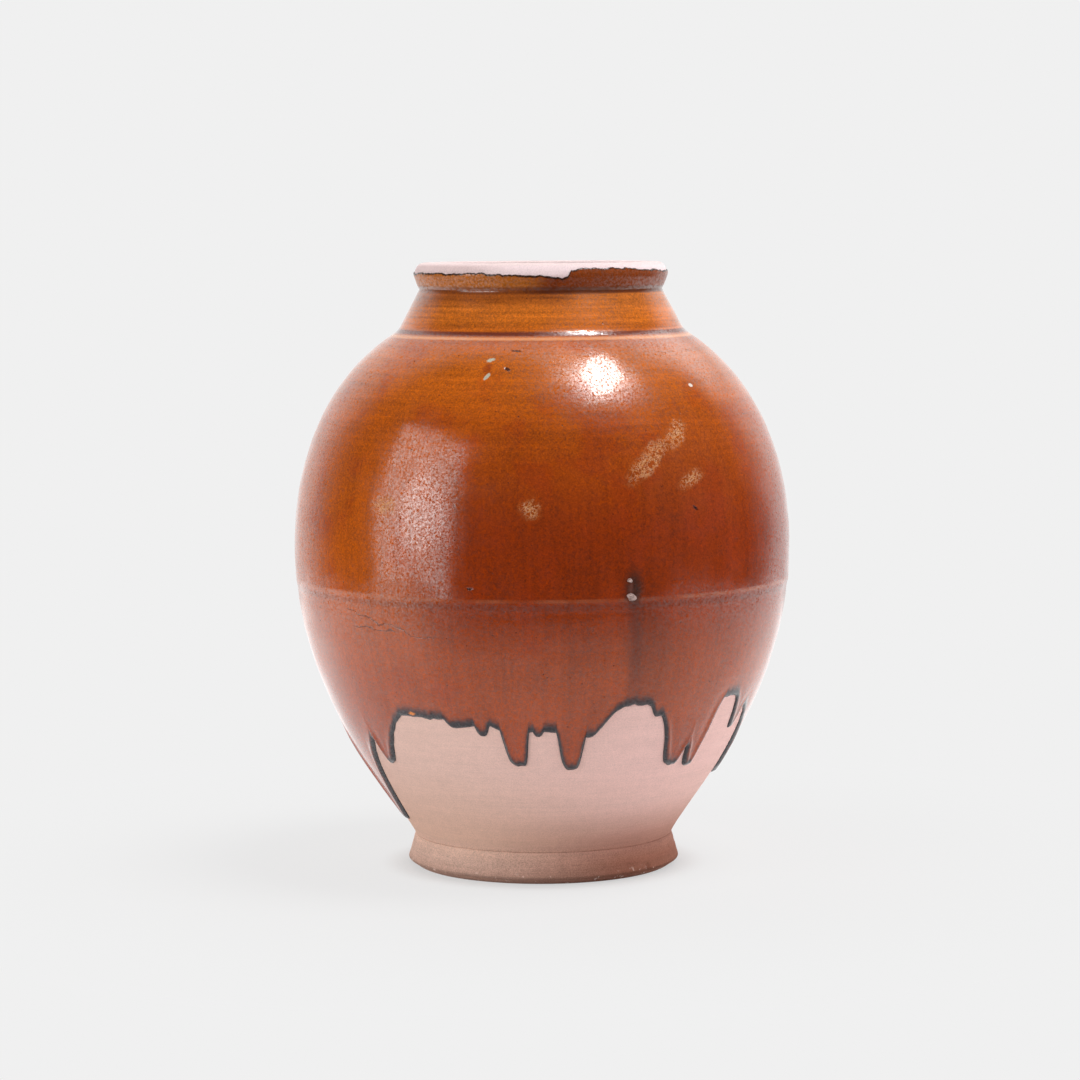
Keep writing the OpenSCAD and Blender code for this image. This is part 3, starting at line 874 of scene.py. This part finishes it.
def rolled_rim(material):
    """The rim, rolled outwards and wiped bare on top."""
    fine = 720
    az = azimuths(fine)
    outline = soften(np.vstack([
        [(GROOVE_R - 0.2, GROOVE_Z + 0.1), (GROOVE_R, GROOVE_Z)],
        arc((RIM_R - RIM_ROUND_W, RIM_WIDE_Z), RIM_ROUND_W, RIM_ROUND_H, 0, 90),
        arc((MOUTH_R + LIP_ROUND, JAR_H - LIP_ROUND), LIP_ROUND, LIP_ROUND, 90, 180),
        [(MOUTH_R, GROOVE_Z + 1)],
    ]), 0.5, 0.5)
    out = normals(outline)
    rings = []
    for (r, level), (nr, nz) in zip(outline, out):
        lift = 0.10 * noise(az, level, 34, 8, 51) + 0.05 * noise(az, level + r, 7, 3, 52)
        lift = lift * smooth_step(level, GROOVE_Z + 2, GROOVE_Z + 6) - 0.12
        rings.append(ring(r + nr * lift, level + nz * lift, fine))
    rings.append(ring(MOUTH_R, GROOVE_Z, 240))
    rings.append(ring((MOUTH_R + GROOVE_R) / 2, GROOVE_Z, 240))
    return turned("rolled_rim", rings, material)


def lining(material):
    """The glaze inside, over rings that the thrower's fingers left."""
    columns = 360
    az = azimuths(columns)
    corner = radius_at(INSIDE, FLOOR_Z)
    neck_inside = NECK_FOOT_R - NECK_T
    wall = np.vstack([
        [(0.02, FLOOR_Z), (corner - FLOOR_ROUND, FLOOR_Z)],
        bezier([
            (corner - FLOOR_ROUND, FLOOR_Z), (corner - FLOOR_ROUND / 3, FLOOR_Z),
            (corner, FLOOR_Z + FLOOR_ROUND / 3), (radius_at(INSIDE, FLOOR_Z + FLOOR_ROUND), FLOOR_Z + FLOOR_ROUND),
        ], 8)[1:],
        INSIDE[(INSIDE[:, 1] > FLOOR_Z + FLOOR_ROUND + 1) & (INSIDE[:, 0] > neck_inside + 0.3)],
        [(neck_inside, SHOULDER_Z), (MOUTH_R, GROOVE_Z), (MOUTH_R, JAR_H - LIP_ROUND - 1)],
    ])
    line = soften(wall, 2.0, 1.6)
    line[0] = wall[0]
    inwards = -normals(line)
    rings = [ring(r, level, columns) for r, level in even(wall, 9)[::-1]]
    for (r, level), (nr, nz) in zip(line, inwards):
        spiral = level + r * (level < FLOOR_Z + 3)
        marks = 0.7 + 0.5 * np.sin(2 * pi * (spiral / 13 + az / 360)) + 0.25 * noise(az, spiral, 60, 9, 61)
        fade = smooth_step(r, 2, 12) * (1 - smooth_step(level, SHOULDER_Z - 8, SHOULDER_Z + 4))
        lift = LINING_T + 0.6 * marks * fade
        end = smooth_step(JAR_H - LIP_ROUND - 1 - level, 0, 2)
        lift = lift * end
        rings.append(ring(np.maximum(r + nr * lift, 0.02), level + nz * lift, columns))
    return turned("throwing_rings_lining", rings, material)


def grain(name, az, z, wide, high, deep, tilt, seed, material):
    """One pale grain of kiln grit, half sunk in the glaze."""
    import bmesh
    mesh = bpy.data.meshes.new(name)
    bm = bmesh.new()
    bmesh.ops.create_icosphere(bm, subdivisions=4, radius=1)
    rng = np.random.default_rng(seed)
    knocks = [(Vector(rng.normal(size=3)).normalized(), rng.uniform(0.62, 0.95)) for _ in range(14)]
    for v in bm.verts:
        for way, far in knocks:
            over = v.co.dot(way) - far
            if over > 0:
                v.co -= way * over * 0.85
    a = radians(az)
    side, out = Vector((cos(a), sin(a), 0)), Vector((sin(a), -cos(a), 0))
    up = Vector((0, 0, 1))
    turn = Matrix.Rotation(radians(tilt), 3, "Y")
    middle = out * (radius_at(SKIN, z) + GLAZE_T + 0.1) + up * z
    for v in bm.verts:
        p = turn @ Vector((v.co.x * wide / 2, v.co.y * deep / 2, v.co.z * high / 2))
        v.co = (middle + side * p.x - out * p.y + up * p.z) * MM
    bm.to_mesh(mesh)
    bm.free()
    mesh.materials.append(material)
    mesh.shade_smooth()
    piece = bpy.data.objects.new(name, mesh)
    bpy.context.scene.collection.objects.link(piece)
    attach(piece, "root")
    return piece


bare_clay = body_clay_paint()
rim_clay = rim_clay_paint()
amber_glaze = glaze_paint()
lining_glaze = lining_paint()
grit = grit_paint()

for node in ("belly_seam", "upper_bowl", "neck_fillet", "neck_collar"):
    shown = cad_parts[node].data
    shown.materials.clear()
    shown.materials.append(bare_clay)

glaze = poured_glaze(amber_glaze)
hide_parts("outer_glaze")
wall = lower_wall(bare_clay)
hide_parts("lower_bowl")
foot = splayed_foot(bare_clay)
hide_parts("foot_ring")
base = trimmed_base(bare_clay)
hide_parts("base_slab")
rim = rolled_rim(rim_clay)
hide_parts("mouth_rim")
lined = lining(lining_glaze)
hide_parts("inner_glaze")
big_grain = grain("large_grain", 19.7, 145.6, 5.6, 3.8, 4.0, 12, 71, grit)
small_grain = grain("small_grain", 19.3, 153.4, 2.6, 2.4, 3.0, 30, 72, grit)
for piece in (big_grain, small_grain):
    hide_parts("kiln_grit")


# ---- Camera, floor and light ----

CAMERA_AT = (-1.0, -1681.0, 319.0)
CAMERA_DOWN, CAMERA_ROLL = 5.35, -0.30
SENSOR, LENS = 36.0, 112.83

camera = bpy.data.objects.new("camera", bpy.data.cameras.new("camera"))
camera.data.sensor_width = SENSOR
camera.data.lens = LENS
camera.data.clip_start, camera.data.clip_end = 0.05, 20
camera.matrix_world = (
    Matrix.Translation(Vector(CAMERA_AT) * MM)
    @ Matrix.Rotation(radians(90 - CAMERA_DOWN), 4, "X")
    @ Matrix.Rotation(radians(CAMERA_ROLL), 4, "Z")
)
bpy.context.scene.collection.objects.link(camera)
bpy.context.scene.camera = camera

BACKDROP = srgb(240, 240, 240)[0]
# Each lamp: its share of full light, its azimuth, its height in degrees and its spread.
ROOM = 0.30
KEY, KEY_AZ, KEY_UP, KEY_SPREAD = 0.42, -58, 14, 45
TOP, TOP_AZ, TOP_UP, TOP_SPREAD = 0.48, 78, 69, 25
FILL, FILL_AZ, FILL_UP, FILL_SPREAD = 0.42, 82, 10, 60
TABLE_FRONT, TABLE_SIDE = 0.50, 0.85
FLOOR_KEPT, FLOOR_KEPT_OUT = 0.60, 0.85


def towards(az, up):
    """The direction from the jar to an azimuth and an elevation."""
    a, e = radians(az), radians(up)
    return Vector((sin(a) * cos(e), -cos(a) * cos(e), sin(e)))


def sun(name, share, az, up, spread):
    """A wide soft lamp that adds a share of full light to a surface that faces it."""
    lamp = bpy.data.lights.new(name, "SUN")
    lamp.energy = share * pi
    lamp.angle = radians(spread)
    thing = bpy.data.objects.new(name, lamp)
    thing.rotation_mode = "QUATERNION"
    thing.rotation_quaternion = (-towards(az, up)).to_track_quat("-Z", "Y")
    thing.visible_glossy = False
    bpy.context.scene.collection.objects.link(thing)


def box_lamp(name, az, up, away, wide, high, radiance, tilt=0, round_one=False):
    """A box lamp that only shows as a reflection in the gloss."""
    lamp = bpy.data.lights.new(name, "AREA")
    lamp.shape = "ELLIPSE" if round_one else "RECTANGLE"
    lamp.size, lamp.size_y = wide, high
    lamp.energy = radiance * pi * wide * high * (pi / 4 if round_one else 1)
    thing = bpy.data.objects.new(name, lamp)
    way = towards(az, up)
    thing.location = Vector((0, 0, BELLY_Z * MM)) + way * away
    thing.rotation_mode = "QUATERNION"
    turn = (-way).to_track_quat("-Z", "Y")
    thing.rotation_quaternion = turn @ Matrix.Rotation(radians(tilt), 3, "Z").to_quaternion()
    thing.visible_diffuse = False
    thing.visible_camera = False
    bpy.context.scene.collection.objects.link(thing)


sun("key", KEY, KEY_AZ, KEY_UP, KEY_SPREAD)
sun("top", TOP, TOP_AZ, TOP_UP, TOP_SPREAD)
sun("fill", FILL, FILL_AZ, FILL_UP, FILL_SPREAD)
box_lamp("tall_box", -60, 11, 1.3, 0.90, 1.40, 2.75)
box_lamp("box_core", -56, 13, 1.2, 0.46, 0.52, 2.9, round_one=True)
box_lamp("overhead_box", 71, 69, 1.2, 0.56, 0.25, 22.0, tilt=20, round_one=True)


class Light:
    """Short names for the nodes of a world or a floor."""

    def __init__(self, tree):
        self.tree = tree
        tree.nodes.clear()
        self.path = self.add("ShaderNodeLightPath")

    def add(self, kind, **settings):
        node = self.tree.nodes.new(kind)
        for key, value in settings.items():
            setattr(node, key, value)
        return node

    def put(self, socket, value):
        if isinstance(value, bpy.types.NodeSocket):
            self.tree.links.new(value, socket)
        else:
            socket.default_value = value

    def math(self, operation, *values):
        node = self.add("ShaderNodeMath", operation=operation)
        for socket, value in zip(node.inputs, values):
            self.put(socket, value)
        return node.outputs[0]

    def step(self, value, start, end, low=0.0, high=1.0):
        node = self.add("ShaderNodeMapRange", interpolation_type="SMOOTHSTEP")
        for key, number in (("Value", value), ("From Min", start), ("From Max", end), ("To Min", low), ("To Max", high)):
            self.put(node.inputs[key], number)
        return node.outputs["Result"]

    def mix(self, share, first, second):
        node = self.add("ShaderNodeMix", data_type="FLOAT")
        self.put(node.inputs["Factor"], share)
        self.put(node.inputs["A"], first)
        self.put(node.inputs["B"], second)
        return node.outputs["Result"]

    def around(self, vector):
        """The azimuth of a place or a direction, in degrees, and its parts."""
        split = self.add("ShaderNodeSeparateXYZ")
        self.put(split.inputs[0], vector)
        x, y, z = split.outputs
        return self.math("MULTIPLY", self.math("ARCTAN2", x, self.math("MULTIPLY", y, -1.0)), 180 / pi), x, y, z


# The world: the pale backdrop for the camera, an even fill for matt surfaces, and for the gloss
# a dark studio in front, the pale backdrop behind and the glow round the overhead box.
world = bpy.data.worlds.new("studio")
bpy.context.scene.world = world
world.use_nodes = True
n = Light(world.node_tree)
way = n.add("ShaderNodeTexCoord").outputs["Generated"]
az, x, y, z = n.around(way)
behind = n.step(n.math("ABSOLUTE", az), 108, 145)
glow_way = n.add("ShaderNodeVectorMath", operation="DOT_PRODUCT")
n.put(glow_way.inputs[0], way)
glow_way.inputs[1].default_value = towards(TOP_AZ - 4, TOP_UP)
off = n.math("MULTIPLY", n.math("ARCCOSINE", glow_way.outputs["Value"]), 180 / pi)
glow = n.math("MULTIPLY", n.math("EXPONENT", n.math("MULTIPLY", n.math("SUBTRACT", off, 8.0), -0.18)), 7.5)
glow = n.math("MINIMUM", glow, 7.5)
high_right = n.math("MULTIPLY", n.step(az, 118, 135), n.math("MULTIPLY", n.step(z, 0.35, 0.55), n.step(z, 0.88, 0.75)))
gloss = n.math("ADD", n.math("MULTIPLY", behind, 1.08), 0.05)
gloss = n.math("ADD", gloss, n.math("MULTIPLY", high_right, 1.1))
gloss = n.math("ADD", gloss, glow)
matt = n.mix(n.step(y, 0.15, 0.55), ROOM, BACKDROP)
seen = n.mix(n.path.outputs["Is Glossy Ray"], matt, gloss)
seen = n.mix(n.path.outputs["Is Camera Ray"], seen, BACKDROP)
ground = n.add("ShaderNodeBackground")
ground.inputs["Color"].default_value = (1, 1, 1, 1)
n.put(ground.inputs["Strength"], seen)
n.put(n.add("ShaderNodeOutputWorld").inputs["Surface"], ground.outputs[0])

# The table: it keeps the shadow near the jar and turns into the even backdrop further out. In
# the gloss it is dim in front, where it is out of the lamps, and bright at the sides.
full_light = (ROOM + BACKDROP) / 2 - 0.03
for share, up in ((KEY, KEY_UP), (TOP, TOP_UP), (FILL, FILL_UP)):
    full_light += share * sin(radians(up))
mesh = bpy.data.meshes.new("floor")
mesh.from_pydata([
    (-TABLE_SIDE, -TABLE_FRONT, -0.00002), (TABLE_SIDE, -TABLE_FRONT, -0.00002),
    (TABLE_SIDE, TABLE_SIDE, -0.00002), (-TABLE_SIDE, TABLE_SIDE, -0.00002),
], [], [(0, 1, 2, 3)])
floor = bpy.data.objects.new("floor", mesh)
bpy.context.scene.collection.objects.link(floor)
floor_paint = bpy.data.materials.new("floor")
floor_paint.use_nodes = True
mesh.materials.append(floor_paint)
n = Light(floor_paint.node_tree)
place = n.add("ShaderNodeTexCoord").outputs["Object"]
az, x, y, z = n.around(place)
length = n.add("ShaderNodeVectorMath", operation="LENGTH")
n.put(length.inputs[0], place)
far = length.outputs["Value"]
lit = n.add("ShaderNodeBsdfDiffuse")
grey = BACKDROP / full_light
lit.inputs["Color"].default_value = (grey, grey, grey, 1)
left = n.step(az, -25, -62)
right = n.step(az, 30, 118)
near = n.mix(right, n.mix(left, 1.0, 1.35), 1.65)
wide = n.mix(right, n.mix(left, 0.62, 1.60), 1.55)
gloss = n.mix(n.step(far, 0.20, 0.38), near, wide)
gloss = n.math("MULTIPLY", gloss, n.step(y, -TABLE_FRONT, 0.08 - TABLE_FRONT, 0.25, 0.75))
gloss = n.math("MULTIPLY", gloss, n.step(y, -0.40, -0.22, 1.0, 4 / 3))
strength = n.mix(n.path.outputs["Is Glossy Ray"], BACKDROP, gloss)
plain = n.add("ShaderNodeEmission")
n.put(plain.inputs["Strength"], strength)
kept = n.math("ADD", n.step(far, 0.066, 0.084, FLOOR_KEPT, FLOOR_KEPT_OUT), n.step(far, 0.12, 0.34, 0.0, 1 - FLOOR_KEPT_OUT))
for_camera = n.math("MULTIPLY", kept, n.path.outputs["Is Camera Ray"])
share = n.math("MAXIMUM", for_camera, n.path.outputs["Is Glossy Ray"])
joined = n.add("ShaderNodeMixShader")
n.put(joined.inputs[0], share)
n.put(joined.inputs[1], lit.outputs[0])
n.put(joined.inputs[2], plain.outputs[0])
n.put(n.add("ShaderNodeOutputMaterial").inputs["Surface"], joined.outputs[0])

bpy.context.scene.view_settings.view_transform = "Standard"
